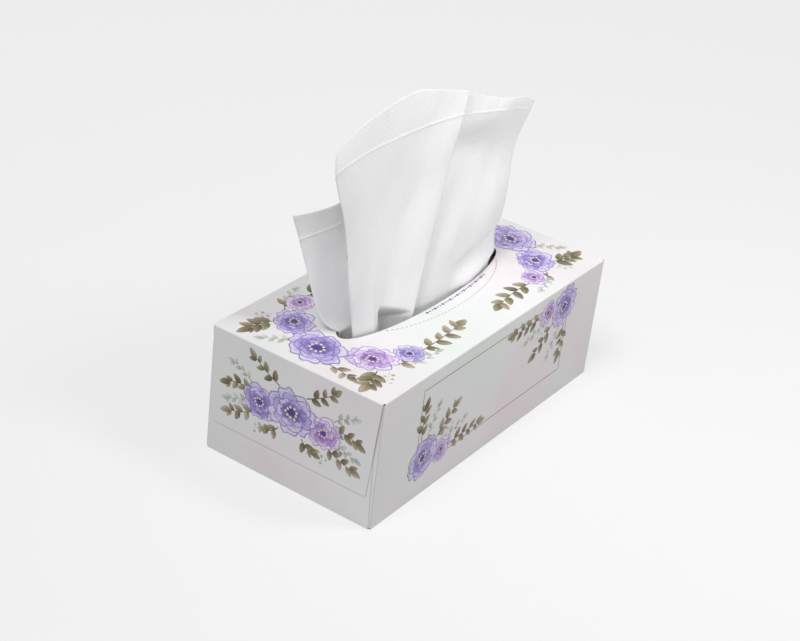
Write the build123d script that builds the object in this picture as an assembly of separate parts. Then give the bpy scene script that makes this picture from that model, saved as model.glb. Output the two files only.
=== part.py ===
from build123d import *
from math import radians, sin
import os

# A carton of facial tissues: one folded and glued blank with an oval mouth, the stack of folded
# sheets inside it, and the first sheet pulled up through the mouth.
# Millimetres, +Z up. The origin is the middle of the base, X runs along the carton, -Y is the front.

# Carton, outside sizes
carton_length = 230.0
carton_width = 115.0
carton_height = 80.0
board = 0.45
fold_inside_radius = 0.35
glue_line = 0.1
glue_lap_width = 15.0

# End flaps: dust flaps fold in first, the inner flap rises from the base, the outer one hangs over it
outer_flap_depth = 60.0
outer_flap_taper = 4.0
inner_flap_depth = 64.0
inner_flap_taper = 2.5
dust_flap_depth = 44.0
dust_flap_taper = 8.0
flap_relief = 0.4

# Mouth in the top panel
mouth_length = 154.0
mouth_width = 33.0
cut_overrun = 4.0

# Stack of folded sheets
headroom = 21.0
stack_end_clearance = 6.0
stack_side_clearance = 3.5
bundle_count = 15
bundle_bulge = 0.6

# The pulled sheet: its creases fan out between the stack and a level above the top panel
sheet_thickness = 0.5
fold_width = 1.6
sheet_reach = 100.0
sheet_sway = 40.0
sheet_rise = 125.5
sheet_swell = 7.0
rest_clearance = 0.3

# Where each crease crosses the mouth (shares of its half length and half width) and where it points at
# the top level (shares of reach and sway), from the left free edge to the right one
crease_shares = [
    ((-0.935, 0.22), (-1.00, 1.39)),
    ((-0.85, 0.24), (-0.85, 0.85)),
    ((-0.70, 0.15), (-0.64, 0.51)),
    ((-0.93, -0.26), (-0.82, 0.32)),
    ((-0.74, -0.59), (-0.57, 0.27)),
    ((-0.62, -0.40), (-0.15, 0.175)),
    ((-0.35, -0.86), (0.306, 0.05)),
    ((-0.45, -0.30), (0.32, 0.15)),
    ((-0.13, -0.60), (0.73, 0.07)),
    ((0.28, -0.80), (0.875, 0.05)),
    ((0.59, -0.71), (0.95, 0.00)),
    ((0.77, -0.51), (1.04, -0.05)),
]
# The creases where the sheet doubles back on itself, counted from the left
tight_folds = (2, 3, 6, 7)
# How far the sheet swells out of its straight creases (shares of sheet_swell) on its way up (shares of
# the rise): its left wing's spread and curl, the roll at the front's upper left, the front and the right
level_shares = [
    (0.00, 0.00, 0.00, 0.00, 0.00, 0.00),
    (0.06, 0.75, 0.00, 0.00, -0.12, 0.01),
    (0.20, 0.62, 0.05, 0.00, -0.26, 0.14),
    (0.36, 0.32, 0.30, 0.00, -0.40, -0.10),
    (0.52, 0.02, 0.92, 0.10, -0.41, -0.64),
    (0.64, 0.00, 1.00, 0.57, -0.32, -0.30),
    (0.76, 0.00, 1.00, 1.00, -0.20, 0.49),
    (0.86, 0.00, 1.00, 0.68, -0.11, 0.15),
    (1.03, 0.00, 1.00, 0.06, 0.00, 0.00),
]
# The creases that each swell moves and by how much, and which way in X and Y it moves them
swell_shares = [
    ({0: 1.0, 1: 0.65}, (-1.0, 1.0)),
    ({0: 1.0, 1: 1.0, 2: 0.3}, (-0.55, -0.83)),
    ({3: 1.0, 4: 0.15}, (-1.0, 0.0)),
    ({4: 0.9, 5: 1.0}, (0.0, -1.0)),
    ({8: 0.8, 9: 1.0, 10: 0.8, 11: 0.5}, (0.0, -1.0)),
]
# The sheet's top edge from the front (shares of reach and rise), and from the side where its left
# corner falls back (shares of sway and rise)
front_edge_shares = [
    (-1.20, 0.50),
    (-0.92, 0.78),
    (-0.85, 0.862),
    (-0.57, 0.956),
    (-0.36, 0.993),
    (-0.147, 1.006),
    (0.08, 0.975),
    (0.259, 0.92),
    (0.42, 0.865),
    (0.585, 0.82),
    (0.739, 0.792),
    (0.841, 0.78),
    (0.926, 0.74),
    (1.06, 0.66),
]
side_edge_shares = [(0.28, 0.862), (0.34, 0.64), (0.40, 0.58), (0.66, 0.545), (1.50, 0.43)]

half_length = carton_length / 2
half_width = carton_width / 2
fold_outside_radius = fold_inside_radius + board
fold_middle_radius = fold_inside_radius + board / 2
layer_step = board + glue_line

# Outer faces of the three layers at each end, and where the walls stop for their folds
inner_flap_face = half_length - layer_step
dust_flap_face = inner_flap_face - layer_step
tube_half = dust_flap_face - fold_outside_radius

# Middle planes of the board
base_middle = board / 2
top_middle = carton_height - board / 2
wall_middle = half_width - board / 2
lap_middle = wall_middle - layer_step

stack_base = board
stack_top = carton_height - board - headroom


def board_strip(plane, path, half_span):
    """A strip of board folded along a path and as wide as its fold line."""
    line = FilletPolyline(*path, radius=fold_middle_radius)
    return extrude(plane * trace(line, line_width=board), amount=half_span, both=True)


def cut_to(strip, outline):
    """Trims a flap to its die-cut outline, given in Y and Z."""
    blank = Plane.YZ * make_face(Polyline(*outline, close=True))
    return strip & extrude(blank, amount=carton_length, both=True)


def make_tube():
    """Base, front, top and back of the blank, with the glue lap inside the back wall."""
    path = [
        (lap_middle, base_middle + glue_lap_width),
        (lap_middle, base_middle),
        (-wall_middle, base_middle),
        (-wall_middle, top_middle),
        (wall_middle, top_middle),
        (wall_middle, board),
    ]
    return board_strip(Plane.YZ, path, tube_half)


def make_outer_flap(end):
    """The flap that hangs from the top panel over the inner flap."""
    face = end * (half_length - board / 2)
    lower = carton_height - outer_flap_depth
    fold_half = half_width - fold_outside_radius
    path = [(end * tube_half, top_middle), (face, top_middle), (face, lower)]
    tip_half = fold_half - outer_flap_taper
    fold_line = carton_height - fold_outside_radius
    outline = [
        (-fold_half, carton_height),
        (-fold_half, fold_line),
        (-tip_half, lower),
        (tip_half, lower),
        (fold_half, fold_line),
        (fold_half, carton_height),
    ]
    return cut_to(board_strip(Plane.XZ, path, fold_half), outline)


def make_inner_flap(end):
    """The flap that rises from the base behind the outer one."""
    face = end * (inner_flap_face - board / 2)
    fold_half = half_width - fold_outside_radius - layer_step
    path = [(end * tube_half, base_middle), (face, base_middle), (face, inner_flap_depth)]
    tip_half = fold_half - inner_flap_taper
    outline = [
        (-fold_half, 0),
        (-fold_half, fold_outside_radius),
        (-tip_half, inner_flap_depth),
        (tip_half, inner_flap_depth),
        (fold_half, fold_outside_radius),
        (fold_half, 0),
    ]
    return cut_to(board_strip(Plane.XZ, path, fold_half), outline)


def make_dust_flap(end, side):
    """The small flap that folds in from a long wall."""
    face = end * (dust_flap_face - board / 2)
    wall = side * wall_middle
    tip = side * (half_width - dust_flap_depth)
    middle_height = carton_height / 2
    fold_half = middle_height - fold_outside_radius - flap_relief
    tip_half = fold_half - dust_flap_taper
    path = [(end * (tube_half - board), wall), (face, wall), (face, tip)]
    fold_line = side * (half_width - fold_outside_radius)
    outline = [
        (side * half_width, middle_height - fold_half),
        (fold_line, middle_height - fold_half),
        (tip, middle_height - tip_half),
        (tip, middle_height + tip_half),
        (fold_line, middle_height + fold_half),
        (side * half_width, middle_height + fold_half),
    ]
    return cut_to(board_strip(Plane.XY.offset(middle_height), path, fold_half), outline)


def make_carton():
    """The whole blank as it stands folded and glued, with its mouth cut out."""
    carton = make_tube()
    for end in (-1, 1):
        carton += make_outer_flap(end)
        carton += make_inner_flap(end)
        for side in (-1, 1):
            carton += make_dust_flap(end, side)
    mouth = Plane.XY.offset(carton_height) * Ellipse(mouth_length / 2, mouth_width / 2)
    return carton - extrude(mouth, amount=cut_overrun, both=True)


def make_stack():
    """The folded sheets as one block, with the soft fold edges of its bundles on both long sides."""
    stack_half_length = dust_flap_face - board - stack_end_clearance
    edge = lap_middle - board / 2 - stack_side_clearance
    pitch = (stack_top - stack_base) / bundle_count
    outline = [
        Line((-edge, stack_base), (edge, stack_base)),
        Line((-edge, stack_top), (edge, stack_top)),
    ]
    for bundle in range(bundle_count):
        lower = stack_base + bundle * pitch
        middle = lower + pitch / 2
        upper = lower + pitch
        for side in (-1, 1):
            crest = side * (edge + bundle_bulge)
            outline.append(ThreePointArc((side * edge, lower), (crest, middle), (side * edge, upper)))
    section = Plane.YZ * make_face(outline)
    return extrude(section, amount=stack_half_length, both=True)


def crease_points(level):
    """Where the creases stand, in X and Y, at one level of the sheet."""
    height_share, *swells = level
    points = []
    for (mouth_x, mouth_y), (top_x, top_y) in crease_shares:
        start = Vector(mouth_x * mouth_length / 2, mouth_y * mouth_width / 2)
        finish = Vector(top_x * sheet_reach, top_y * sheet_sway)
        points.append(start + (finish - start) * height_share)
    for swell, (moved, way) in zip(swells, swell_shares):
        for number, share in moved.items():
            points[number] += Vector(*way) * sheet_swell * swell * share
    return points


def fold_corners(before, crease, after):
    """The two corners of a tight fold, which is as wide as the sheet's own fullness keeps it."""
    back = (before - crease).normalized()
    onward = (after - crease).normalized()
    setback = fold_width / 2 / sin(radians(back.get_angle(onward) / 2))
    return [crease + back * setback, crease + onward * setback]


def sheet_section(level, height):
    """The corners of the sheet's thin section at one of its levels, along one side and then the other."""
    creases = crease_points(level)
    line = []
    for number, crease in enumerate(creases):
        if number in tight_folds:
            line += fold_corners(creases[number - 1], crease, creases[number + 1])
        else:
            line.append(crease)
    ways = [(after - before).normalized() for before, after in zip(line, line[1:])]
    near, far = [], []
    for corner, back, onward in zip(line, [ways[0], *ways], [*ways, ways[-1]]):
        mean = (back + onward).normalized()
        out = Vector(mean.Y, -mean.X) * (sheet_thickness / 2 / mean.dot(onward))
        near.append(Vector(corner.X, corner.Y, height) + out)
        far.append(Vector(corner.X, corner.Y, height) - out)
    return near + far[::-1]


def front_outline():
    """What is kept of the sheet as seen from the front: all that lies under its top edge."""
    edge = [(x * sheet_reach, carton_height + z * sheet_rise) for x, z in front_edge_shares]
    left, right = edge[0], edge[-1]
    sides = Polyline(left, (left[0], 0), (right[0], 0), right)
    return extrude(Plane.XZ * make_face([Spline(*edge), sides]), amount=carton_width, both=True)


def side_outline():
    """What is kept of the sheet as seen from the end: its left corner falls back and ends lower."""
    edge = [(y * sheet_sway, carton_height + z * sheet_rise) for y, z in side_edge_shares]
    crest = (edge[0][0], carton_height + sheet_rise + cut_overrun)
    back = (edge[-1][0], 0)
    outline = [(-half_width, 0), (-half_width, crest[1]), crest, *edge, back]
    return extrude(Plane.YZ * make_face(Polyline(*outline, close=True)), amount=carton_length, both=True)


def make_sheet():
    """The pulled sheet: straight from the stack to the mouth, then strips from each level to the next."""
    sections = [sheet_section(level_shares[0], stack_top + rest_clearance)]
    for level in level_shares:
        sections.append(sheet_section(level, carton_height + level[0] * sheet_rise))
    skin = [Face(Polyline(*section, close=True)) for section in (sections[0], sections[-1])]
    for lower, upper in zip(sections, sections[1:]):
        for corner in range(len(lower)):
            below = Line(lower[corner - 1], lower[corner])
            above = Line(upper[corner - 1], upper[corner])
            skin.append(Face.make_surface_from_curves(below, above))
    return Solid(Shell(skin)) & front_outline() & side_outline()


parts = {
    "carton": make_carton(),
    "tissue_stack": make_stack(),
    "pulled_tissue": make_sheet(),
}

os.makedirs("parts", exist_ok=True)
for name, shape in parts.items():
    export_step(shape, f"parts/{name}.step")
    print(name, "volume", round(shape.volume), "valid", shape.is_valid)
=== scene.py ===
import math
import random

import bmesh
import bpy
import numpy as np
from mathutils import Matrix, Vector, noise


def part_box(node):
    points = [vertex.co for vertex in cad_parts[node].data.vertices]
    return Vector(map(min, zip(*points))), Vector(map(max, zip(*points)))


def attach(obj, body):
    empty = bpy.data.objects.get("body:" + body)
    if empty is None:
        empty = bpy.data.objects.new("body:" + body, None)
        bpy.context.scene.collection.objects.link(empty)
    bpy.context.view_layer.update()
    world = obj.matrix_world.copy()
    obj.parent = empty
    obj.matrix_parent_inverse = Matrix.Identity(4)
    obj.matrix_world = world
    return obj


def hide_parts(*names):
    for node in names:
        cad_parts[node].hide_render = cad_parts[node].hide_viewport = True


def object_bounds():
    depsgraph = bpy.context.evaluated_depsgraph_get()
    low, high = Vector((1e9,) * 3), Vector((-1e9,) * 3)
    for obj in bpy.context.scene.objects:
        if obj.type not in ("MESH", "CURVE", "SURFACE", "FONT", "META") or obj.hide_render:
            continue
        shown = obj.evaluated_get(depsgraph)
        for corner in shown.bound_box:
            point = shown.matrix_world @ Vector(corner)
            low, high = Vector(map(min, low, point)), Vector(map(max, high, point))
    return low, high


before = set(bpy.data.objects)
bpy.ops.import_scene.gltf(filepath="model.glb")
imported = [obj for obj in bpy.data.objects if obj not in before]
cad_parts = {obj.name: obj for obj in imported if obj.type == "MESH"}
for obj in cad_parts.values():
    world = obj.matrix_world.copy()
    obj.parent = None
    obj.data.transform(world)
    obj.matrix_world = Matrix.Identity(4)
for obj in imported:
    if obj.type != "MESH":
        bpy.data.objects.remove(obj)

# A printed paperboard tissue box with one sheet standing out of its oval mouth.
# Sizes are in millimetres and MM turns them to metres. +Z is up, X runs along the box and -Y is its front.
MM = 0.001
cad_low, cad_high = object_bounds()
box_low, box_high = (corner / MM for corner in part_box("carton"))
stack_low, stack_high = (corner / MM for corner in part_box("tissue_stack"))
panel_top = box_high.z

# The mouth, and the torn-out oval that is printed round it
mouth_length = 154.0
mouth_width = 33.0
tear_length = 132.0
tear_width = 52.0
tear_centre = 4.0

# The board, and how many boards deep the print reaches: to the middle of the third layer at an end, where
# every layer is printed, and to the middle of the single layer elsewhere
board = 0.45
end_print_boards = 2.5
wall_print_boards = 0.5

# The lines on the stack's sides are painted shade in the gaps between the sheets. A wave texture runs
# through 20 radians for each unit of its scale. Single sheets are too fine to show, so a line stands for a
# bundle of them about 4.4 mm high.
stack_line_radian = 0.7
wave_radians = 20
stack_line_sway = 1.5

# The camera, which turns about the middle of the carton, with its angles in degrees
view_azimuth = -58.009
view_elevation = 29.586
view_roll = 7.0
view_distance = 1066.477
view_offset = (7.294, -16.834)
view_lens = 82.17
view_sensor = 36.0

# Light: an even sky, one wide soft lamp from above and a soft box in front
sky_hex = "FFFFFF"
sky_strength = 0.27
lamp_strength = 1.68
lamp_angle = 22.0
lamp_from = (-0.62, 0.0, 1.0)
softbox_power = 1.65
softbox_size = 150.0
softbox_place = (100.0, -340.0, 560.0)
softbox_aim = (0.0, 0.0, 150.0)

# The floor and the backdrop: what the camera sees, what the floor throws back at the box, and how much of
# the floor shows as evenly as the backdrop
backdrop_hex = "F6F6F6"
floor_dark_hex = "EDEDED"
floor_light_hex = "F0F0F0"
floor_bounce_hex = "C4C4C4"
floor_speckle = 40.0
floor_half = 6000.0
floor_evenness_share = 0.7


def colour(code):
    """The linear colour of an sRGB hex code."""
    shares = [int(code[i:i + 2], 16) / 255 for i in (0, 2, 4)]
    linear = [s / 12.92 if s <= 0.04045 else ((s + 0.055) / 1.055) ** 2.4 for s in shares]
    return (*linear, 1.0)


def add_node(tree, kind, inputs=None, **settings):
    """Adds a shader node with its settings, and sets or links its inputs. A hex code sets its colour and a
    node links its first output."""
    node = tree.nodes.new("ShaderNode" + kind)
    for name, value in settings.items():
        setattr(node, name, value)
    for key, value in (inputs or {}).items():
        if isinstance(value, bpy.types.Node):
            value = value.outputs[0]
        if isinstance(value, bpy.types.NodeSocket):
            tree.links.new(value, node.inputs[key])
        else:
            node.inputs[key].default_value = colour(value) if isinstance(value, str) else value
    return node


def new_material(name):
    """An empty node material, its tree and the place on the object."""
    material = bpy.data.materials.new(name)
    material.use_nodes = True
    tree = material.node_tree
    tree.nodes.clear()
    return material, tree, add_node(tree, "TexCoord").outputs["Object"]


def surfaced(material, shader):
    """A material with its shader put on the surface."""
    add_node(material.node_tree, "OutputMaterial", {"Surface": shader})
    return material


def per_mm(size):
    """The scale of a texture whose pattern repeats at a size in millimetres."""
    return 1 / (size * MM)


def coated_board():
    """Folding boxboard, clay coated and printed: satin white with faint pink and green washes outside,
    raw grey-white fibre on its inside and its cut edges."""
    material, tree, place = new_material("coated_paperboard")
    washed = "E6E4E5"
    for tint, shift, size, low, high in [
        ("E3D9DE", (0.0, 0.0, 0.0), 95, 0.42, 0.68),
        ("DDE2DF", (0.31, 0.17, 0.23), 80, 0.44, 0.70),
    ]:
        moved = add_node(tree, "Mapping", {"Vector": place, "Location": shift})
        cloud = add_node(tree, "TexNoise", {"Vector": moved, "Scale": per_mm(size), "Detail": 2.0})
        wash = add_node(tree, "MapRange", {"Value": cloud, "From Min": low, "From Max": high})
        washed = add_node(tree, "Mix", {0: wash, 6: washed, 7: tint}, data_type="RGBA").outputs[2]
    fibre = add_node(tree, "TexNoise", {"Vector": place, "Scale": per_mm(1.6), "Detail": 5.0})
    raw = add_node(tree, "Mix", {0: fibre, 6: "C4C1BB", 7: "DCDAD5"}, data_type="RGBA")

    # The raw board begins where the print ends, on all six sides
    spot = add_node(tree, "SeparateXYZ", {"Vector": place})
    inside = None
    for axis, low, high, boards in [
        ("X", box_low.x, box_high.x, end_print_boards),
        ("Y", box_low.y, box_high.y, wall_print_boards),
        ("Z", box_low.z, box_high.z, wall_print_boards),
    ]:
        depth = boards * board
        for operation, limit in (("GREATER_THAN", low + depth), ("LESS_THAN", high - depth)):
            within = add_node(tree, "Math", {0: spot.outputs[axis], 1: limit * MM}, operation=operation)
            if inside:
                within = add_node(tree, "Math", {0: inside, 1: within}, operation="MULTIPLY")
            inside = within
    surface = add_node(tree, "Mix", {0: inside, 6: washed, 7: raw.outputs[2]}, data_type="RGBA")
    rough = add_node(tree, "MapRange", {"Value": inside, "To Min": 0.46, "To Max": 0.92})
    grain = add_node(tree, "TexNoise", {"Vector": place, "Scale": per_mm(0.9), "Detail": 3.0})
    relief = add_node(tree, "Bump", {"Strength": 0.12, "Distance": 0.05 * MM, "Height": grain})
    return surfaced(material, add_node(tree, "BsdfPrincipled", {
        "Base Color": surface.outputs[2], "Roughness": rough, "IOR": 1.47, "Normal": relief}))


def tissue_paper(name, glow_share):
    """Two-ply facial tissue, creped and dot embossed: matt white. A single sheet is thin enough to let a
    share of the light through. Real dots and crepe are too fine to show, so these are drawn coarser."""
    material, tree, place = new_material(name)
    drawn = add_node(tree, "UVMap", uv_map="sheet")
    cloud = add_node(tree, "TexNoise", {"Vector": place, "Scale": per_mm(30), "Detail": 4.0})
    tint = add_node(tree, "Mix", {0: cloud, 6: "FAFAFA", 7: "FEFEFE"}, data_type="RGBA").outputs[2]
    slanted = add_node(tree, "Mapping", {"Vector": drawn, "Rotation": (0, 0, math.radians(45))})
    dots = add_node(tree, "TexVoronoi", {"Vector": slanted, "Scale": per_mm(2.0), "Randomness": 0.0},
                    voronoi_dimensions="2D")
    pits = add_node(tree, "MapRange", interpolation_type="SMOOTHSTEP", inputs={
        "Value": dots.outputs["Distance"], "From Min": 0.16, "From Max": 0.34})
    stretched = add_node(tree, "Mapping", {"Vector": drawn, "Scale": (1.0, 4.0, 1.0)})
    crepe = add_node(tree, "TexNoise", {"Vector": stretched, "Scale": per_mm(2.2), "Detail": 4.0})
    height = add_node(tree, "Mix", {0: 0.5, 2: pits, 3: crepe}, data_type="FLOAT")
    relief = add_node(tree, "Bump", {"Strength": 0.5, "Distance": 0.2 * MM, "Height": height})
    shader = add_node(tree, "BsdfPrincipled", {
        "Base Color": tint, "Roughness": 0.9, "Specular IOR Level": 0.2, "Sheen Weight": 0.25,
        "Normal": relief})
    if glow_share:
        through = add_node(tree, "BsdfTranslucent", {"Color": tint, "Normal": relief})
        shader = add_node(tree, "MixShader", {0: glow_share, 1: shader, 2: through})
    return surfaced(material, shader)


def stacked_paper():
    """The cut and folded edges of many tissues: matt white with grey lines of painted shade in the gaps
    between the sheets.
    """
    material, tree, place = new_material("stacked_tissue_paper")
    bent = add_node(tree, "TexNoise", {"Vector": place, "Scale": per_mm(25), "Detail": 3.0})
    spot = add_node(tree, "SeparateXYZ", {"Vector": place})
    swayed = add_node(tree, "Math", {0: bent, 1: stack_line_sway * MM, 2: spot.outputs["Z"]},
                      operation="MULTIPLY_ADD")
    column = add_node(tree, "CombineXYZ", {"Z": swayed})
    scale = per_mm(stack_line_radian) / wave_radians
    layers = add_node(tree, "TexWave", {"Vector": column, "Scale": scale, "Distortion": 1.0},
                      bands_direction="Z").outputs["Fac"]
    # The grey bands are painted shade in the gaps between the sheets, and the same bands give the relief
    # below
    tint = add_node(tree, "Mix", {0: layers, 6: "DCDCDA", 7: "F4F4F2"}, data_type="RGBA")
    relief = add_node(tree, "Bump", {"Strength": 0.5, "Distance": 0.2 * MM, "Height": layers})
    return surfaced(material, add_node(tree, "BsdfPrincipled", {
        "Base Color": tint.outputs[2], "Roughness": 0.92, "Specular IOR Level": 0.2, "Normal": relief}))


def brushed_ink(name, deep, middle, pale, rim, shaded_half=0.0):
    """Watercolour printed on the coat: deep at a shape's root, pale and mottled towards its end, with the
    darker rim that a wet brush stroke dries to. A leaf has one half in the shade."""
    material, tree, place = new_material(name)
    drawn = add_node(tree, "UVMap", uv_map="drawn")
    tone = add_node(tree, "Attribute", attribute_name="tone").outputs["Fac"]
    shape = add_node(tree, "SeparateXYZ", {"Vector": drawn})
    half = add_node(tree, "Math", {0: shape.outputs["X"], 1: 0.5}, operation="GREATER_THAN")
    blot = add_node(tree, "TexNoise", {"Vector": place, "Scale": per_mm(4.5), "Detail": 4.0})
    bristles = add_node(tree, "Mapping", {"Vector": drawn, "Scale": (9.0, 1.2, 1.0)})
    streak = add_node(tree, "TexNoise", noise_dimensions="4D",
                      inputs={"Vector": bristles, "W": tone, "Scale": 1.0, "Detail": 2.0})

    # How pale the paint is: the shape's own tone, and what its shade, its length, blots and streaks add
    paint = tone
    for cause, amount in [(half, -shaded_half), (shape.outputs["Y"], 0.65), (blot, 0.5), (streak, 0.45)]:
        paint = add_node(tree, "Math", {0: cause, 1: amount, 2: paint}, operation="MULTIPLY_ADD")
    paint = add_node(tree, "Math", {0: paint, 1: 0.5}, operation="SUBTRACT", use_clamp=True)
    ramp = add_node(tree, "ValToRGB", {0: paint})
    stops = ramp.color_ramp.elements
    stops[0].color = colour(deep)
    stops[0].position = 0.05
    stops[1].color = colour(pale)
    stops[1].position = 0.85
    stops.new(0.42).color = colour(middle)
    outward = add_node(tree, "VectorMath", {0: drawn, 1: (0.5, 0.5, 0.0)}, operation="DISTANCE")
    dried = add_node(tree, "MapRange", interpolation_type="SMOOTHSTEP", inputs={
        "Value": outward.outputs["Value"], "From Min": 0.42, "From Max": 0.49, "To Max": 0.8})
    inked = add_node(tree, "Mix", {0: dried, 6: ramp, 7: rim}, data_type="RGBA")
    return surfaced(material, add_node(tree, "BsdfPrincipled", {
        "Base Color": inked.outputs[2], "Roughness": 0.55, "IOR": 1.47}))


def line_ink(name, dark, light, roughness, metallic=0.0):
    """A thin printed line or dot: one ink, a little uneven from the plate."""
    material, tree, place = new_material(name)
    uneven = add_node(tree, "TexNoise", {"Vector": place, "Scale": per_mm(7), "Detail": 3.0})
    tint = add_node(tree, "Mix", {0: uneven, 6: dark, 7: light}, data_type="RGBA")
    return surfaced(material, add_node(tree, "BsdfPrincipled", {
        "Base Color": tint.outputs[2], "Roughness": roughness, "Metallic": metallic}))


def finished(name, mesh, materials):
    """A finished mesh as a piece of the scene with its materials."""
    piece = bpy.data.objects.new(name, bpy.data.meshes.new(name))
    mesh.to_mesh(piece.data)
    mesh.free()
    for material in materials:
        piece.data.materials.append(material)
    bpy.context.scene.collection.objects.link(piece)
    return piece


board_material = coated_board()
tissue_material = tissue_paper("embossed_tissue_paper", 0.3)
pile_material = tissue_paper("piled_tissue_paper", 0.0)
stack_material = stacked_paper()
inks = {
    "lavender": brushed_ink("lavender_wash_ink", "55448F", "8F80C2", "D8CFEE", "4B3C8C"),
    "orchid": brushed_ink("orchid_wash_ink", "74479A", "AE8CCB", "E8DAF0", "6A3C94"),
    "olive": brushed_ink("olive_leaf_ink", "564C35", "857A5C", "AFA58A", "4A4230", 0.2),
    "taupe": brushed_ink("taupe_leaf_ink", "665548", "94846F", "C0B3A2", "574A3E", 0.2),
    "sage": brushed_ink("sage_leaf_ink", "969C90", "B7BBB0", "D6D9D0", "8A9085", 0.1),
    "lavender_line": line_ink("lavender_line_ink", "55459A", "7668B4", 0.55),
    "orchid_line": line_ink("orchid_line_ink", "7A4CA2", "9C74C0", 0.55),
    "violet": line_ink("deep_violet_ink", "33245E", "55409A", 0.5),
    "cream": line_ink("cream_dot_ink", "D9CBA0", "EFE6C8", 0.5),
    "stem": line_ink("stem_ink", "574B3A", "85775E", 0.55),
    "gold": line_ink("dull_gold_ink", "8A7546", "B39C66", 0.42, 0.35),
    "grey": line_ink("tear_line_ink", "8E8C90", "A9A7AB", 0.6),
}
ink_names = list(inks)

# Each shape of ink lies a hair above the one it covers: the frame, stalks, lines and berries lowest, then
# the sprigs in turns of five levels, then the blossoms in sixteen levels each. A line on a shape lies half
# a level over it.
ink_lift = 0.03
ink_step = 0.003
frame_level = -4
stalk_level = -2
line_level = -1
over_level = 0.5
sprig_levels = 5
sprig_turns = 3
blossom_levels = 16
tier_levels = 3
heart_level = 13
stamen_level = 14

# How pale an even stroke or dot is, and how many corners and steps the shapes are drawn with
plain_tone = 0.5
petal_corners = 20
leaf_corners = 22
heart_corners = 14
berry_corners = 12
dot_corners = 10
stem_steps = 10
rib_steps = 6
petal_line_steps = 5
dash_steps = 2


class Drawing:
    """One printed drawing in millimetres, x to the right and y up, made of flat shapes of ink."""

    def __init__(self, seed):
        self.mesh = bmesh.new()
        self.drawn = self.mesh.loops.layers.uv.new("drawn")
        self.tone = self.mesh.faces.layers.float.new("tone")
        self.luck = random.Random(seed)
        self.sprigs = 0

    def lay(self, verts, ink, level, tone, shape):
        """Moves a unit shape's corners to their place on the drawing and inks its faces."""
        unit = {vert: Vector((vert.co.x, vert.co.y)) for vert in verts}
        for face in {face for vert in verts for face in vert.link_faces}:
            face.material_index = ink_names.index(ink)
            face[self.tone] = tone
            for loop in face.loops:
                loop[self.drawn].uv = (unit[loop.vert] + Vector((1, 1))) / 2
        for vert, spot in unit.items():
            vert.co = (*shape(spot.x, spot.y), ink_lift + level * ink_step)

    def patch(self, ink, level, tone, shape, corners):
        """A round patch of ink that shape(x, y) pushes to its outline."""
        made = bmesh.ops.create_circle(
            self.mesh, cap_ends=True, cap_tris=True, segments=corners, radius=1.0)
        self.lay(made["verts"], ink, level, tone, shape)

    def ribbon(self, ink, level, shape, steps):
        """A long narrow patch of ink that shape(x, y) lays along its line."""
        made = bmesh.ops.create_grid(self.mesh, x_segments=1, y_segments=steps, size=1.0)
        self.lay(made["verts"], ink, level, plain_tone, shape)

    def dot(self, ink, level, x, y, size, tone=plain_tone, corners=dot_corners):
        """A small round dot."""
        self.patch(ink, level, tone, lambda a, b: (x + a * size / 2, y + b * size / 2), corners)

    def print_on(self, name, panel):
        """Makes the drawing a piece that lies on a panel."""
        bmesh.ops.recalc_face_normals(self.mesh, faces=self.mesh.faces)
        for face in self.mesh.faces:
            if face.normal.z < 0:
                face.normal_flip()
        self.mesh.transform(panel)
        piece = finished(name, self.mesh, inks.values())
        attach(piece, "root")


def turned(x, y, angle):
    """A point turned about the origin."""
    return x * math.cos(angle) - y * math.sin(angle), x * math.sin(angle) + y * math.cos(angle)


def stepped(point, length, angle):
    """The point that lies a length away from another at an angle."""
    return point[0] + length * math.cos(angle), point[1] + length * math.sin(angle)


# A blossom has tiers of petals: how many, their length and width as shares of the radius, and their tone
blossom_tier_shares = [
    (7, 1.00, 0.92, 0.36),
    (6, 0.80, 0.80, 0.20),
    (6, 0.60, 0.62, 0.10),
    (5, 0.42, 0.50, -0.08),
]
# How flat a blossom is pressed, and how far chance turns, stretches and tones its petals
blossom_flat_share = 0.86
petal_turn = 0.08
petal_length_shares = (0.92, 1.05)
petal_width_shares = (0.92, 1.08)
petal_tone = 0.2
# A petal's narrow foot, the ripples of its rim and the notch in its end
petal_foot_share = 0.5
petal_ripples = 5
petal_ripple_share = 0.045
petal_notch_share = 0.07
petal_notch_width_share = 0.22
# The brush lines on a petal: how far to its side, and from where to where along it. Petals of the outer
# tiers have all of them and the others one. Chance moves their ends, and they are thinnest there.
petal_line_shares = [(-0.30, 0.35, 0.80), (0.0, 0.30, 0.90), (0.30, 0.35, 0.80)]
petal_line_low_shares = (-0.05, 0.1)
petal_line_high_shares = (-0.15, 0.03)
petal_line_end_share = 0.1
petal_line_width = 0.42
outer_tiers = 2
# The dark heart and the ring of stamens round it, as shares of the radius
blossom_heart_share = 0.13
heart_tone = 0.3
stamen_count = 9
stamen_share = 0.05
stamen_ring_share = 0.22
stamen_reach_shares = (0.85, 1.15)


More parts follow.
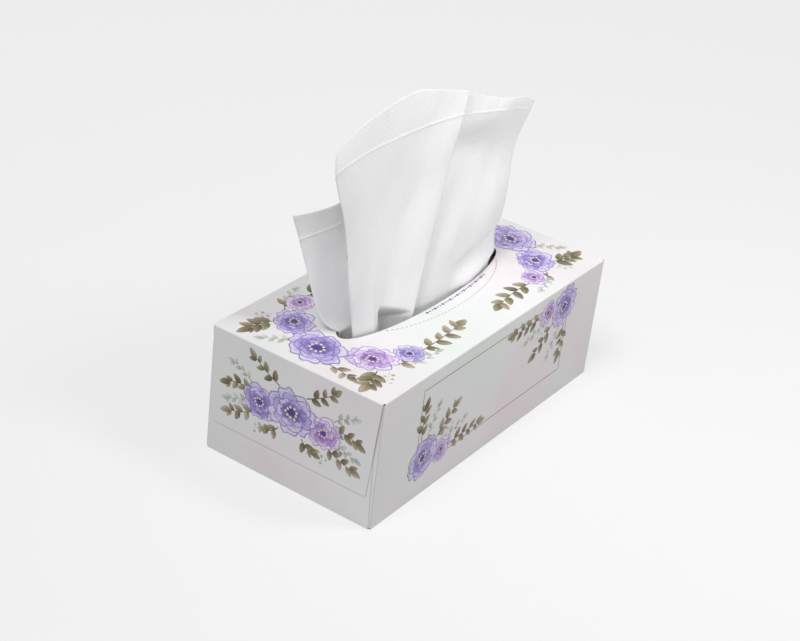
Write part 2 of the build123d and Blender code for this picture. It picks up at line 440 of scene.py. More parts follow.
def draw_blossom(drawing, place, diameter, ink, order, lean):
    """An open blossom that leans at an angle in degrees: tiers of round petals about a dark heart."""
    radius = diameter / 2
    lean = math.radians(lean)
    level = sprig_levels * sprig_turns + order * blossom_levels
    luck = drawing.luck
    spin = luck.uniform(0, math.tau)

    def leaned(px, py):
        """A point of the blossom, pressed flat along the way that it leans."""
        px, py = turned(px, py * blossom_flat_share, lean)
        return place[0] + px, place[1] + py

    for tier, (count, length_share, width_share, tone) in enumerate(blossom_tier_shares):
        lines = petal_line_shares if tier < outer_tiers else petal_line_shares[:1]
        for number in range(count):
            angle = spin + tier * math.pi / count + number * math.tau / count
            angle += luck.uniform(-petal_turn, petal_turn)
            length = radius * length_share * luck.uniform(*petal_length_shares)
            width = radius * width_share * luck.uniform(*petal_width_shares)
            waves = luck.uniform(0, math.tau)

            def petal(a, b):
                along = (b + 1) / 2
                rim = math.hypot(a, b)
                ripple = 1 + petal_ripple_share * rim * math.sin(petal_ripples * math.atan2(b, a) + waves)
                notch = petal_notch_share * rim * math.exp(-(a / petal_notch_width_share) ** 2) * max(b, 0)
                px = width / 2 * a * (petal_foot_share + (1 - petal_foot_share) * along) * ripple
                return leaned(*turned(px, length * (along * ripple - notch), angle))

            # Petals beside each other lie on two levels in turn, and an odd last one on a third
            turn = number % 2 if number < count - count % 2 else 2
            height = level + tier_levels * tier + turn
            drawing.patch(ink, height, tone + luck.uniform(-petal_tone, petal_tone), petal, petal_corners)
            for aside, low, high in lines:
                low += luck.uniform(*petal_line_low_shares)
                high += luck.uniform(*petal_line_high_shares)

                def brush(a, b):
                    along = low + (high - low) * (b + 1) / 2
                    thick = petal_line_width / width * (1 - b * b + petal_line_end_share)
                    return petal(aside * along + a * thick, 2 * along - 1)

                drawing.ribbon(ink + "_line", height + over_level, brush, petal_line_steps)
    heart = radius * blossom_heart_share
    drawing.patch("violet", level + heart_level, heart_tone,
                  lambda a, b: leaned(a * heart, b * heart), heart_corners)
    for number in range(stamen_count):
        angle = spin + number * math.tau / stamen_count
        reach = radius * stamen_ring_share * luck.uniform(*stamen_reach_shares)
        spot = leaned(*stepped((0, 0), reach, angle))
        drawing.dot("cream", level + stamen_level, *spot, radius * stamen_share * 2)


def arc_point(start, heading, length, curve, share):
    """A point along an arc that leaves start at a heading and turns by curve over its length."""
    half = curve * share / 2
    chord = length * share * (math.sin(half) / half if abs(half) > 1e-6 else 1)
    return stepped(start, chord, heading + half)


# A stem's width and how much of it is gone at its end
stem_width = 0.7
stem_taper_share = 0.5
# A leaf: how full it is, how slowly it comes to its point, and where its outline would meet
leaf_fullness = 1.25
leaf_point = 0.28
leaf_close_share = 1.02
leaf_width_share = 0.54
# How far chance bends a leaf, and how pale it may be
leaf_bend = 0.12
leaf_tones = (0.05, 0.5)
# A leaf's rib: its width halfway and its taper as shares of rib_width, and where it runs
rib_width = 0.4
rib_middle_share = 0.6
rib_taper_share = 0.4
rib_run_share = 0.9
rib_start_share = 0.1
# Where each pair of leaves grows, as shares of the way from pair to pair, and the last such place
pair_place_share = 0.75
pair_stagger_share = 0.18
last_pair_share = 0.97
# The angle of the leaves to their stem in degrees, and their sizes as shares of the leaf at the tip
leaf_spread = (42, 60)
leaf_size_shares = (0.8, 1.05)
low_leaf_share = 1.1
leaf_shrink_share = 0.3
# Berries get smaller along their stalk and stand off it at an angle
stalk_width = 0.4
berry_size = 2.6
berry_shrink = 0.9
berry_reach = 2.4
berry_spread = math.pi / 3
berry_tones = (0.0, 0.4)


def stem_ink(ink):
    """The ink of a leaf's stem and rib."""
    return ink if ink == "sage" else "stem"


def draw_stem(drawing, ink, level, arc, width, taper_share):
    """A thin stem along an arc, which narrows towards its end."""
    _, heading, _, curve = arc

    def stem(a, b):
        share = (b + 1) / 2
        reach = a * width / 2 * (1 - taper_share * share)
        return stepped(arc_point(*arc, share), reach, heading + curve * share + math.pi / 2)

    drawing.ribbon(ink, level, stem, stem_steps)


def draw_leaf(drawing, root, heading, length, ink, level):
    """One pointed leaf that leaves its root at a heading and bends a little."""
    luck = drawing.luck
    width = length * leaf_width_share
    bend = luck.uniform(-leaf_bend, leaf_bend)

    def leaf(a, b):
        along = (b + 1) / 2
        side = width / 2 * a * leaf_fullness * (leaf_close_share - along) ** leaf_point
        px, py = turned(length * along, side + bend * length * along ** 2, heading)
        return root[0] + px, root[1] + py

    def rib(a, b):
        thick = rib_width / width * (rib_middle_share - rib_taper_share * b)
        return leaf(a * thick, rib_run_share * b - rib_start_share)

    drawing.patch(ink, level, luck.uniform(*leaf_tones), leaf, leaf_corners)
    drawing.ribbon(stem_ink(ink), level + over_level, rib, rib_steps)


def draw_sprig(drawing, start, heading, length, curve, leaf_length, pairs, ink):
    """A stem with pairs of leaves and one at its tip. Angles are in degrees."""
    heading, curve = math.radians(heading), math.radians(curve)
    arc = (start, heading, length, curve)
    level = drawing.sprigs % sprig_turns * sprig_levels
    drawing.sprigs += 1
    draw_stem(drawing, stem_ink(ink), level, arc, stem_width, stem_taper_share)
    luck = drawing.luck
    for pair in range(pairs):
        for side in (-1, 1):
            share = min((pair + pair_place_share + pair_stagger_share * side) / pairs, last_pair_share)
            spread = side * math.radians(luck.uniform(*leaf_spread))
            size = leaf_length * luck.uniform(*leaf_size_shares)
            size *= low_leaf_share - leaf_shrink_share * share
            turn = heading + curve * share + spread
            # Leaves beside each other lie on four levels in turn
            leaf_level = level + 1 + pair % 2 * 2 + (side > 0)
            draw_leaf(drawing, arc_point(*arc, share), turn, size, ink, leaf_level)
    draw_leaf(drawing, arc_point(*arc, 1), heading + curve, leaf_length, ink, level + 1 + pairs % 2 * 2)


def draw_berries(drawing, start, heading, length, curve, count):
    """A faint stalk with round berries to both sides in turn. Angles are in degrees."""
    heading, curve = math.radians(heading), math.radians(curve)
    arc = (start, heading, length, curve)
    draw_stem(drawing, "sage", stalk_level, arc, stalk_width, 0.0)
    for number in range(count):
        share = (number + 1) / count
        side = -1 if number % 2 else 1
        across = heading + curve * share + side * berry_spread
        spot = stepped(arc_point(*arc, share), berry_reach, across)
        tone = drawing.luck.uniform(*berry_tones)
        drawing.dot("sage", line_level, *spot, berry_size - berry_shrink * share, tone, berry_corners)


def panel_place(centre, right, up):
    """Where a panel's drawings go: their middle, their right and their up, with z out of the board."""
    right, up = Vector(right), Vector(up)
    turn = Matrix((right, up, right.cross(up))).transposed().to_4x4()
    return Matrix.Translation(Vector(centre) * MM) @ turn @ Matrix.Scale(MM, 4)


top_panel = panel_place((0, 0, box_high.z), (1, 0, 0), (0, 1, 0))
top_panel_turned = panel_place((0, 0, box_high.z), (-1, 0, 0), (0, -1, 0))
front_panel = panel_place((0, box_low.y, 0), (1, 0, 0), (0, 0, 1))
back_panel = panel_place((0, box_high.y, 0), (-1, 0, 0), (0, 0, 1))
left_panel = panel_place((box_low.x, 0, 0), (0, -1, 0), (0, 0, 1))
right_panel = panel_place((box_high.x, 0, 0), (0, 1, 0), (0, 0, 1))

# What the sprays are made of. A sprig has a start, heading, length, bend, leaf length, number of pairs of
# leaves and ink. Berries have a start, heading, length, bend and number. A blossom has a place, diameter,
# ink, order and lean.
crescent_sprigs = [
    ((-88, 36), 152, 16, 20, 9.5, 3, "olive"),
    ((-74, 40), 55, 12, -70, 8.0, 2, "taupe"),
    ((-56, 41), -6, 36, 16, 9.5, 4, "olive"),
    ((-103, -12), 266, 15, -8, 7.5, 2, "taupe"),
    ((-90, -35), 203, 15, -10, 9.5, 3, "olive"),
    ((-77, -38), -46, 11, 60, 8.0, 2, "taupe"),
    ((-57, -40), -2, 38, 8, 9.5, 4, "olive"),
    ((-98, 16), 118, 16, 10, 5.0, 3, "sage"),
    ((-70, 46), 12, 18, 0, 4.5, 3, "sage"),
    ((-70, -45), -8, 20, 6, 4.5, 3, "sage"),
]
crescent_berries = [
    ((-83, 42), 140, 9, 20, 5),
    ((-86, -40), 215, 10, -10, 5),
]
crescent_blossoms = [
    ((-94, 2), 37, "lavender", 2, 70),
    ((-81, 28), 29, "lavender", 1, 35),
    ((-82, -26), 30, "orchid", 1, 120),
    ((-62, 39), 20, "orchid", 0, 20),
    ((-63, -37), 21, "lavender", 0, 150),
]
# The right half of the swag, from the middle of the end and the base of the box
swag_sprigs = [
    ((27, 50), 24, 17, -50, 7.0, 3, "olive"),
    ((24, 39), -32, 19, 20, 7.0, 3, "taupe"),
    ((9, 62), 22, 20, 16, 6.5, 3, "olive"),
    ((8, 36), -60, 9, 50, 6.5, 2, "olive"),
    ((28, 56), 44, 15, -30, 4.5, 3, "sage"),
    ((29, 43), -10, 15, -10, 4.5, 3, "sage"),
]
swag_berries = [((16, 34), -50, 9, 30, 5)]
swag_side_blossoms = {
    -1: ((22, 46), 25, "lavender", 0, 25),
    1: ((22, 46), 25, "orchid", 0, 25),
}
swag_middle_blossom = ((0, 49), 35, "lavender", 1, 0)
# The spray over a corner of the gold frame, from that corner
corner_sprigs = [
    ((32, 3), 4, 30, -8, 7.5, 4, "olive"),
    ((3, 19), 94, 20, -14, 7.5, 3, "olive"),
    ((17, 13), 44, 22, -10, 7.5, 3, "taupe"),
    ((27, 8), 22, 20, -10, 4.5, 3, "sage"),
    ((9, 19), 70, 18, -14, 4.5, 3, "sage"),
]
corner_berries = [((22, 10), 30, 12, -20, 5)]
corner_blossoms = [
    ((6, 6), 30, "lavender", 1, 40),
    ((25, 3), 19, "orchid", 0, 10),
]
# The gold line that frames both long sides
frame_low = (-76.0, 19.0)
frame_high = (76.0, 71.0)
frame_line = 0.65
# The dashes of the tear line, and how far they keep from the mouth
tear_dash = 1.7
tear_gap = 1.3
tear_line = 0.42
tear_clearance = 1.5
# The beads along the mouth's front edge: every third one is large. Angles are in degrees.
bead_count = 27
bead_start = -104
bead_sweep = 47
bead_margin = 2.4
bead_size = 1.25
large_bead_size = 1.9
large_bead_turn = 3


def draw_spray(drawing, sprigs, berries, blossoms, placed, side=1, out=0):
    """A spray of sprigs, berries and blossoms. placed(spot) moves them, out turns their headings in
    degrees and a side of -1 mirrors them."""
    for start, heading, length, curve, *leaves in sprigs:
        draw_sprig(drawing, placed(start), out + side * heading, length, side * curve, *leaves)
    for start, heading, length, curve, count in berries:
        draw_berries(drawing, placed(start), out + side * heading, length, side * curve, count)
    for spot, diameter, ink, order, lean in blossoms:
        draw_blossom(drawing, placed(spot), diameter, ink, order, side * lean)


def draw_crescent(seed):
    """The spray that curls round one end of the mouth, drawn for the left end."""
    drawing = Drawing(seed)
    draw_spray(drawing, crescent_sprigs, crescent_berries, crescent_blossoms, lambda spot: spot)
    return drawing


def draw_swag(seed):
    """The hanging swag on an end flap, the same to both sides of its middle."""
    drawing = Drawing(seed)
    for side, out in ((-1, 180), (1, 0)):
        draw_spray(drawing, swag_sprigs, swag_berries, [swag_side_blossoms[side]],
                   lambda spot: (side * spot[0], spot[1]), side, out)
    draw_blossom(drawing, *swag_middle_blossom)
    return drawing


def draw_framed_side(seed):
    """A long side: a thin gold frame with a small spray over two opposite corners."""
    drawing = Drawing(seed)
    (left, bottom), (right, top) = frame_low, frame_high
    half = frame_line / 2
    bars = [((left - half, y - half), (right + half, y + half)) for y in (bottom, top)]
    bars += [((x - half, bottom + half), (x + half, top - half)) for x in (left, right)]
    for low, high in bars:
        def bar(a, b):
            x = low[0] + (high[0] - low[0]) * (a + 1) / 2
            return x, low[1] + (high[1] - low[1]) * (b + 1) / 2

        drawing.ribbon("gold", frame_level, bar, stem_steps)
    for (x, y), way, out in ((frame_low, 1, 0), (frame_high, -1, 180)):
        draw_spray(drawing, corner_sprigs, corner_berries, corner_blossoms,
                   lambda spot: (x + way * spot[0], y + way * spot[1]), out=out)
    return drawing


def draw_mouth_lines(seed):
    """The dashed tear line round the mouth and the beaded line along its front edge."""
    drawing = Drawing(seed)
    half_length, half_width = tear_length / 2, tear_width / 2
    clear_length, clear_width = mouth_length / 2 + tear_clearance, mouth_width / 2 + tear_clearance
    angle = 0.0
    while angle < math.tau:
        pace = math.hypot(half_length * math.sin(angle), half_width * math.cos(angle))
        reach = tear_dash / pace
        middle = angle + reach / 2
        x, y = tear_centre + half_length * math.cos(middle), half_width * math.sin(middle)
        if (x / clear_length) ** 2 + (y / clear_width) ** 2 > 1:
            def tear(a, b):
                at = angle + reach * (b + 1) / 2
                out = 1 + a * tear_line / 2 / half_width
                return tear_centre + half_length * out * math.cos(at), half_width * out * math.sin(at)

            drawing.ribbon("grey", line_level, tear, dash_steps)
        angle += (tear_dash + tear_gap) / pace
    for number in range(bead_count):
        at = math.radians(bead_start + bead_sweep * number / (bead_count - 1))
        x = (mouth_length / 2 + bead_margin) * math.cos(at)
        y = (mouth_width / 2 + bead_margin) * math.sin(at)
        drawing.dot("violet", line_level, x, y, bead_size if number % large_bead_turn else large_bead_size)
    return drawing


# The prints: their drawing, the seed of its chance, their name and their panel
prints = [
    (draw_crescent, 11, "top_left_spray_print", top_panel),
    (draw_crescent, 23, "top_right_spray_print", top_panel_turned),
    (draw_mouth_lines, 5, "mouth_line_print", top_panel),
    (draw_swag, 31, "left_end_swag_print", left_panel),
    (draw_swag, 37, "right_end_swag_print", right_panel),
    (draw_framed_side, 41, "front_frame_print", front_panel),
    (draw_framed_side, 43, "back_frame_print", back_panel),
]
for draw, seed, name, panel in prints:
    draw(seed).print_on(name, panel)

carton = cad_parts["carton"]
for slot in carton.material_slots:
    slot.material = board_material

# The pulled sheet. Its creases are straight lines that fan out of the mouth, from the left free edge to
# the right one: where each crosses the mouth, as shares of its half length and half width, and where it
# points at the level of the peak, as shares of the reach and the sway.
sheet_reach = 100.0
sheet_sway = 40.0
sheet_rise = 125.5
sheet_thickness = 0.25
sheet_gap = 0.5
sheet_foot = stack_high.z + sheet_gap
crease_shares = [
    ((-0.935, 0.22), (-1.00, 1.39)),
    ((-0.85, 0.24), (-0.85, 0.85)),
    ((-0.70, 0.15), (-0.64, 0.51)),
    ((-0.93, -0.26), (-0.82, 0.32)),
    ((-0.74, -0.59), (-0.57, 0.27)),
    ((-0.62, -0.40), (-0.15, 0.175)),
    ((-0.35, -0.86), (0.306, 0.05)),
    ((-0.45, -0.28), (0.335, 0.27)),
    ((-0.15, -0.78), (0.73, 0.13)),
    ((0.28, -0.80), (0.875, 0.11)),
    ((0.59, -0.71), (0.95, 0.05)),
    ((0.77, -0.51), (1.04, 0.00)),
]
# How high the sheet's edge stands on each crease, as shares of the rise
edge_shares = [0.545, 0.58, 0.64, 0.862, 0.956, 1.006, 0.92, 0.905, 0.82, 0.792, 0.78, 0.74]
# How far under the edge the hem line runs on each crease, and how round each fold is
hem_depths = [14.5, 13.5, 14.0, 11.0, 18.0, 22.5, 11.5, 11.0, 6.5, 6.2, 7.0, 5.5]
fold_radii = [4.0, 5.7, 1.6, 1.8, 1.4, 1.4, 0.7, 0.9, 5.7, 5.7, 5.7, 4.0]
# The folds that open on their way up: by how much, and between which heights
fold_openings = {3: (2.0, 50.0, 100.0), 4: (4.3, 6.0, 36.0), 5: (4.3, 6.0, 36.0)}
broad_radius = 5.7
fold_reach = 15.0
softening_rounds = 90
softening_share = 0.5

# The sheet's mesh: columns between creases and rows up the sheet, which lie close along the hem line, and
# over how many columns the edge and the hem line are drawn smooth
column_step = 0.85
least_columns = 6
row_count = 150
hem_rows = 22
hem_close_rows = (-1.2, -0.6, -0.3, 0.0, 0.3, 0.6, 1.2)
edge_evening = 9
hem_evening = 6
# How far the hem line stands out, and how wide it is
hem_lift = 0.3
hem_half_width = 0.5

# From here to sheet_points, places across the sheet are counted in creases from the left free edge.
# The left wing spreads over the end of the mouth, and the front's upper left corner rolls over.
wing_spread = 7.0
wing_creases = (0.4, 1.9)
wing_clearance = 4.0
corner_roll = 7.0
corner_roll_creases = (3, 0.55)
corner_roll_shares = (0.76, 0.16)
# The pleat beside the right panel, and how far under the hem line its closing begins and ends
pleat_creases = (6, 7, 8)
pleat_depth = 8.5
pleat_closing = (26.0, 1.0)

# Wrinkles: how high they are, how large across and up the sheet, their slant and a seed. The soft ones
# begin over the mouth, the fine ones lie all over and the close ones are gathered at the mouth.
soft_wrinkles = [(1.3, 40, 52, 0.25, 3.1), (0.7, 17, 42, -0.3, 7.7)]
fine_wrinkles = [(0.16, 5, 14, 0.2, 1.9)]
close_wrinkles = [(0.35, 7, 60, 0.0, 5.3)]
soft_wrinkle_heights = (2, 30)
close_wrinkle_reach = 26

# Bends of the panels: the creases that they begin and fade between, and how much of them fades. Each bend
# has its way out, its form, and its place up the sheet as shares of the rise.
wing_curl = 46.0
wing_curl_power = 3
wing_curl_creases = (1.2, 2.6)
front_bend_creases = ((3.1, 4.2), (5.2, 5.95))
front_fade_share = 1.0
front_bend_shares = [(-3.0, "hump", 0.45, 0.35)]
right_bend_creases = ((7.15, 8.3), (9.2, 11))
right_fade_share = 0.5
right_bend_shares = [(5.0, "step", 0.56, 0.79), (-4.0, "hump", 0.53, 0.13), (1.2, "hump", 0.25, 0.12)]
under_hem_hollow = 7.0
under_hem_creases = (7.8, 0.7)
under_hem_shares = (0.62, 0.085)
# The small pocket at the foot of the front: its steep side, and the run over which it gets lower
pocket_depth = 11.0
pocket_side_creases = (4.5, 4.85)
pocket_start_crease = 4.75
pocket_run_creases = 1.2
pocket_floor = 1
pocket_end_height = 3
pocket_rise = 8
# The tuck at the foot of the right panel, a swell with a hollow over it: how far each stands out, its
# height where the tuck is full, the slope of its line and its half width
tuck_begin = 8
tuck_full = 30
tuck_folds = [(3.2, 3, 0.12, 4), (-2.8, 13, 0.16, 4.5)]


def smooth_step(value, low, high):
    """0 below low, 1 above high and a smooth rise between them."""
    share = np.clip((value - low) / (high - low), 0, 1)
    return share * share * (3 - 2 * share)


def hump(value, middle, half_width):
    """A smooth bump of height 1."""
    return np.exp(-((value - middle) / half_width) ** 2)


def evened(values, columns):
    """A row of values drawn out to a smooth line over some columns."""
    kernel = hump(np.arange(-2 * columns, 2 * columns + 1), 0, columns)
    padded = np.pad(values, 2 * columns, mode="reflect", reflect_type="odd")
    return np.convolve(padded, kernel / kernel.sum(), mode="valid")


def sheet_points():
    """The sheet's points by row and column in millimetres, and what tells their places on the sheet."""
    at_mouth = np.array([mouth for mouth, top in crease_shares]) * (mouth_length / 2, mouth_width / 2)
    at_peak = np.array([top for mouth, top in crease_shares]) * (sheet_reach, sheet_sway)
    spans = np.hypot(*np.diff((at_mouth + at_peak) / 2, axis=0).T)
    counts = [max(least_columns, round(span / column_step)) for span in spans]
    columns = [np.linspace(i, i + 1, count, endpoint=False) for i, count in enumerate(counts)]
    knots = np.concatenate(columns + [[len(spans)]])
    first = np.minimum(knots.astype(int), len(spans) - 1)
    share = (knots - first)[:, None]
    mouth_line, peak_line = (at[first] * (1 - share) + at[first + 1] * share for at in (at_mouth, at_peak))
    creases = np.arange(len(crease_shares))
    edge = evened(np.interp(knots, creases, edge_shares) * sheet_rise, edge_evening)
    hem = edge - evened(np.interp(knots, creases, hem_depths), hem_evening)
    foot = sheet_foot - panel_top

    # Rows: even ones up to the hem line, close ones along it and even ones up to the edge
    under, over = hem + hem_close_rows[0], hem + hem_close_rows[-1]
    below = np.linspace(0, 1, row_count - hem_rows - len(hem_close_rows), endpoint=False)
    above = np.linspace(0, 1, hem_rows + 1)[1:]
    rows = [foot + (under - foot) * value for value in below]
    rows += [hem + offset for offset in hem_close_rows]
    rows += [over + (edge - over) * value for value in above]
    height = np.array(rows)
    risen = np.maximum(height, 0)
    climb = (risen / sheet_rise)[..., None]
    points = np.dstack([mouth_line + (peak_line - mouth_line) * climb, panel_top + height])

    # The left wing spreads as soon as it is clear of the board, and comes back to its line at the edge
    wing = (1 - smooth_step(knots, *wing_creases)) * (1 - np.exp(-risen / wing_clearance))
    wing = wing * (1 - height / edge)
    points[..., 0] -= wing_spread * wing
    points[..., 1] += wing_spread * wing
    rolled = hump(height / sheet_rise, *corner_roll_shares) * hump(knots, *corner_roll_creases)
    points[..., 0] -= corner_roll * rolled
    # The pleat closes under the hem line, so the strip above it is flat
    closed = smooth_step(height, hem - pleat_closing[0], hem - pleat_closing[1])
    points[..., 1] -= pleat_depth * closed * np.interp(knots, pleat_creases, (0, 1, 0))

    # Creases soften: each column is drawn towards its neighbours, least of all beside a tight fold
    weight = np.ones_like(height)
    places = np.concatenate([[0], np.cumsum(np.hypot(*np.diff((mouth_line + peak_line) / 2, axis=0).T))])
    for crease, radius in enumerate(fold_radii):
        if radius < broad_radius:
            away = np.abs(places - np.interp(crease, knots, places))
            growth, low, high = fold_openings.get(crease, (0.0, 0.0, 1.0))
            opened = radius + growth * smooth_step(height, low, high)
            least = np.clip((opened / broad_radius) ** 2, 0, 1)
            weight = np.minimum(weight, least + (1 - least) * smooth_step(away, 0, fold_reach))
    weight = weight[..., None]
    for _ in range(softening_rounds):
        middle = (points[:, :-2] + points[:, 2:]) / 2
        pull = softening_share * weight[:, 1:-1] * (middle - points[:, 1:-1])[..., :2]
        points[:, 1:-1, :2] += pull
    flat = np.dstack([np.broadcast_to(places, height.shape), height - foot])
    return points, knots, height, hem, flat


def sheet_normals(points):
    """The sheet's outward direction at each point."""
    normal = np.cross(np.gradient(points, axis=1), np.gradient(points, axis=0))
    return normal / np.linalg.norm(normal, axis=2, keepdims=True)


def cloth_noise(flat, size_across, size_up, slant, seed):
    """Smooth noise over the flat sheet, about as large as the sizes in millimetres, and slanted."""
    across = (flat[..., 0] + slant * flat[..., 1]) / size_across
    up = flat[..., 1] / size_up
    values = [noise.noise(Vector((x, y, seed))) for x, y in zip(across.ravel(), up.ravel())]
    return np.array(values).reshape(across.shape)


def sheet_relief(points, knots, height, hem, flat):
    """How far each point stands out of the plain folds: soft bends, wrinkles and the hem line."""
    share = height / sheet_rise
    lift = np.zeros_like(height)
    for where, wrinkles in [
        (smooth_step(height, *soft_wrinkle_heights), soft_wrinkles),
        (1.0, fine_wrinkles),
        (hump(height, 0, close_wrinkle_reach), close_wrinkles),
    ]:
        for size, across, up, slant, seed in wrinkles:
            lift += size * where * cloth_noise(flat, across, up, slant, seed)
    wing = 1 - smooth_step(knots, *wing_curl_creases)
    lift += wing_curl * wing * np.clip(share, 0, 1) ** wing_curl_power
    forms = {"hump": hump, "step": smooth_step}
    for (begin, fade), fade_share, bend_shares in [
        (front_bend_creases, front_fade_share, front_bend_shares),
        (right_bend_creases, right_fade_share, right_bend_shares),
    ]:
        panel = smooth_step(knots, *begin) * (1 - fade_share * smooth_step(knots, *fade))
        for size, form, *place in bend_shares:
            lift += size * panel * forms[form](share, *place)
    lift -= under_hem_hollow * hump(knots, *under_hem_creases) * hump(share, *under_hem_shares)
    along = np.clip((knots - pocket_start_crease) / pocket_run_creases, 0, 1)
    pocket = smooth_step(knots, *pocket_side_creases) * (1 - along)
    pocket_top = pocket_end_height + pocket_rise * (1 - along)
    lift -= pocket_depth * pocket * (1 - smooth_step(height, pocket_floor, pocket_top))
    x = points[..., 0]
    tucked = panel * smooth_step(x, tuck_begin, tuck_full)
    for size, up, slope, half_width in tuck_folds:
        lift += size * tucked * hump(height, up + slope * (x - tuck_full), half_width)
    lift += hem_lift * hump(height, hem, hem_half_width)
    return lift


def make_pulled_sheet():
    """The sheet that stands out of the mouth."""
    points, knots, height, hem, flat = sheet_points()
    lift = sheet_relief(points, knots, height, hem, flat)
    points = points + sheet_normals(points) * lift[..., None]
    rows, columns = height.shape
    mesh = bmesh.new()
    bmesh.ops.create_grid(mesh, x_segments=columns - 1, y_segments=rows - 1, size=0.5)
    drawn = mesh.loops.layers.uv.new("sheet")
    spots = {}
    for vert in mesh.verts:
        spots[vert] = (round((vert.co.y + 0.5) * (rows - 1)), round((vert.co.x + 0.5) * (columns - 1)))
    for face in mesh.faces:
        face.smooth = True
        for loop in face.loops:
            loop[drawn].uv = flat[spots[loop.vert]] * MM
    for vert, spot in spots.items():
        vert.co = Vector(points[spot]) * MM
    piece = finished("pulled_sheet", mesh, [tissue_material])
    wall = piece.modifiers.new("paper_thickness", "SOLIDIFY")
    wall.thickness = sheet_thickness * MM
    wall.offset = 0.0
    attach(piece, "root")
    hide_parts("pulled_tissue")


make_pulled_sheet()

# The pile: its top sags to its edges and has low waves with a height, sizes along and across and a seed
half_pile = (stack_high - stack_low) / 2
pile_columns = 140
pile_rows = 108
pile_gap = 0.8
pile_sag = 1.8
pile_round = 7.0
pile_waves = [(0.2, 34, 26, 2.3), (0.08, 8, 30, 4.1)]
# The next sheet's free edge lies along the pile: it sways, steps up and curls, least towards the ends
free_edge_place = 9.5
free_edge_sway = (1.2, 31)
free_edge_waver = (0.8, 18, 9.2)
free_edge_step = 0.5
free_edge_step_width = 0.9
free_edge_curl = 1.5
free_edge_curl_start = -0.2
free_edge_reach = 2.6
free_edge_fade = (55, 90)
# The pile's sides: layers of folded sheets, every second one set in, and each slipped a little
pile_layers = 24
layer_inset = 0.5
layer_slip = 0.3
layer_slip_size = 20
layer_seed_step = 0.7


def pile_top(x, y):
    """The height of the pile's top sheet."""
    inward = min(half_pile.x - abs(x), half_pile.y - abs(y))
    sag = pile_sag * (1 - smooth_step(inward, 0, pile_round))
    wave = sum(size * noise.noise(Vector((x / long, y / wide, at))) for size, long, wide, at in pile_waves)
    size, long = free_edge_sway
    edge = free_edge_place + size * math.sin(x / long)
    size, long, at = free_edge_waver
    edge += size * noise.noise(Vector((x / long, 0, at)))
    flap = free_edge_step * smooth_step(edge - y, 0, free_edge_step_width)
    curl = free_edge_curl * hump(max(edge - y, 0), 0, free_edge_reach)
    curl *= smooth_step(edge - y, free_edge_curl_start, free_edge_step_width)
    curl *= 1 - smooth_step(abs(x), *free_edge_fade)
    return stack_high.z - pile_gap - sag + wave + flap + curl


def make_pile():
    """The sheets still in the box: a soft pile with uneven folded edges."""
    mesh = bmesh.new()
    bmesh.ops.create_grid(mesh, x_segments=pile_columns, y_segments=pile_rows, size=1.0)
    drawn = mesh.loops.layers.uv.new("sheet")
    for vert in mesh.verts:
        x, y = vert.co.x * half_pile.x, vert.co.y * half_pile.y
        vert.co = (x, y, pile_top(x, y))
    for face in mesh.faces:
        face.smooth = True
        for loop in face.loops:
            loop[drawn].uv = loop.vert.co.xy * MM
    top = set(mesh.faces)
    rim = [edge for edge in mesh.edges if edge.is_boundary]
    for layer in range(pile_layers):
        bmesh.ops.extrude_edge_only(mesh, edges=rim)
        rim = [edge for edge in mesh.edges if edge.is_boundary]
        for vert in {vert for edge in rim for vert in edge.verts}:
            x, y, z = vert.co
            slip = layer_slip * noise.noise(
                Vector((x / layer_slip_size, y / layer_slip_size, layer * layer_seed_step)))
            inset = layer_inset * (layer % 2) + slip + layer_slip
            vert.co = (math.copysign(min(abs(x), half_pile.x - inset), x),
                       math.copysign(min(abs(y), half_pile.y - inset), y),
                       z + (stack_low.z - z) / (pile_layers - layer))
    bmesh.ops.contextual_create(mesh, geom=rim)
    for face in set(mesh.faces) - top:
        face.material_index = 1
    bmesh.ops.recalc_face_normals(mesh, faces=mesh.faces)
    mesh.transform(Matrix.Translation((stack_low + stack_high).xy.to_3d() / 2 * MM) @ Matrix.Scale(MM, 4))
    piece = finished("piled_sheets", mesh, [pile_material, stack_material])
    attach(piece, "root")
    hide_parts("tissue_stack")


make_pile()


def seen_share(tree):
    """1 for the rays that show the background: the camera's and the reflected and refracted ones."""
    path = add_node(tree, "LightPath")
    seen = path.outputs["Is Camera Ray"]
    for ray in ("Is Glossy Ray", "Is Transmission Ray"):
        seen = add_node(tree, "Math", {0: seen, 1: path.outputs[ray]}, operation="MAXIMUM").outputs[0]
    return seen


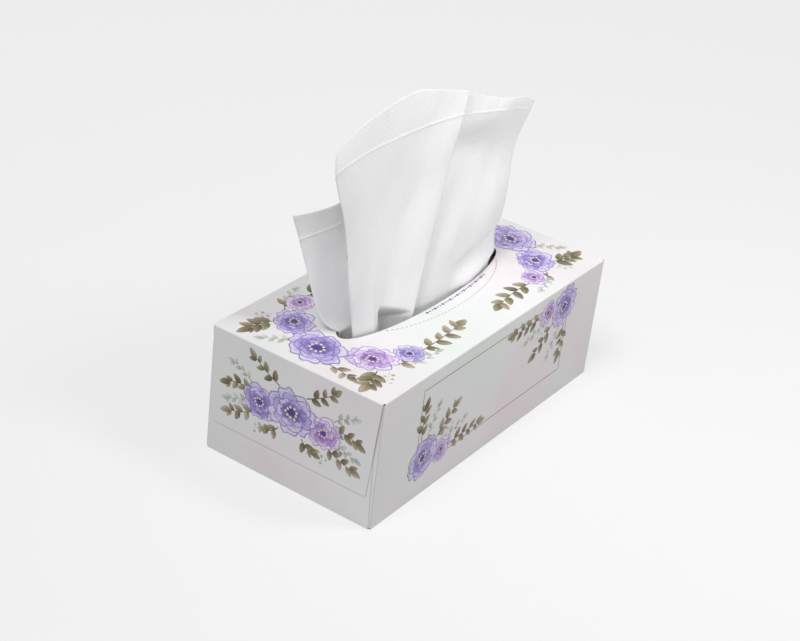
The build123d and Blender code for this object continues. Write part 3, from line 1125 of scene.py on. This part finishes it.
def make_floor():
    """A plain pale floor, matt and faintly speckled, that takes the box's shadow."""
    material, tree, place = new_material("pale_floor")
    speckle = add_node(tree, "TexNoise", {"Vector": place, "Scale": per_mm(floor_speckle)})
    shown = add_node(tree, "Mix", {0: speckle, 6: floor_dark_hex, 7: floor_light_hex}, data_type="RGBA")
    seen = seen_share(tree)
    tint = add_node(tree, "Mix", {0: seen, 6: floor_bounce_hex, 7: shown.outputs[2]}, data_type="RGBA")
    lit = add_node(tree, "BsdfDiffuse", {"Color": tint.outputs[2]})
    even = add_node(tree, "Emission", {"Color": backdrop_hex, "Strength": 1.0})
    evenness = add_node(tree, "Math", {0: seen, 1: floor_evenness_share}, operation="MULTIPLY")
    surfaced(material, add_node(tree, "MixShader", {0: evenness, 1: lit, 2: even}))
    mesh = bmesh.new()
    bmesh.ops.create_grid(mesh, x_segments=1, y_segments=1, size=floor_half * MM)
    bmesh.ops.translate(mesh, verts=mesh.verts, vec=(0, 0, cad_low.z))
    floor = finished("floor", mesh, [material])


def make_light():
    """An even sky before a pale backdrop, one wide soft lamp and a soft box in front."""
    world = bpy.data.worlds.new("studio")
    world.use_nodes = True
    tree = world.node_tree
    tree.nodes.clear()
    light = add_node(tree, "Background", {"Color": sky_hex, "Strength": sky_strength})
    backdrop = add_node(tree, "Background", {"Color": backdrop_hex, "Strength": 1.0})
    sky = add_node(tree, "MixShader", {0: seen_share(tree), 1: light, 2: backdrop})
    add_node(tree, "OutputWorld", {"Surface": sky})
    bpy.context.scene.world = world

    for name, kind, strength, back in [
        ("soft_lamp", "SUN", lamp_strength, Vector(lamp_from)),
        ("softbox", "AREA", softbox_power, Vector(softbox_place) - Vector(softbox_aim)),
    ]:
        lamp = bpy.data.objects.new(name, bpy.data.lights.new(name, kind))
        lamp.data.energy = strength
        lamp.rotation_euler = back.to_track_quat("Z", "Y").to_euler()
        bpy.context.scene.collection.objects.link(lamp)
    bpy.data.lights["soft_lamp"].angle = math.radians(lamp_angle)
    bpy.data.lights["softbox"].size = softbox_size * MM
    bpy.data.objects["softbox"].location = Vector(softbox_place) * MM


def make_camera():
    """The camera, at the photograph's viewing angle."""
    turn, climb, roll = (math.radians(angle) for angle in (view_azimuth, view_elevation, view_roll))
    facing = Matrix.Rotation(turn, 4, "Z") @ Matrix.Rotation(math.pi / 2 - climb, 4, "X")
    facing = facing @ Matrix.Rotation(roll, 4, "Z")
    middle = Vector((0, 0, (box_low.z + box_high.z) / 2))
    back = Vector((-view_offset[0], -view_offset[1], view_distance))
    camera = bpy.data.objects.new("camera", bpy.data.cameras.new("camera"))
    camera.data.lens = view_lens
    camera.data.sensor_width = view_sensor
    camera.matrix_world = Matrix.Translation(middle * MM) @ facing @ Matrix.Translation(back * MM)
    bpy.context.scene.collection.objects.link(camera)
    bpy.context.scene.camera = camera


make_floor()
make_light()
make_camera()
bpy.context.scene.view_settings.view_transform = "Standard"

bpy.context.view_layer.update()
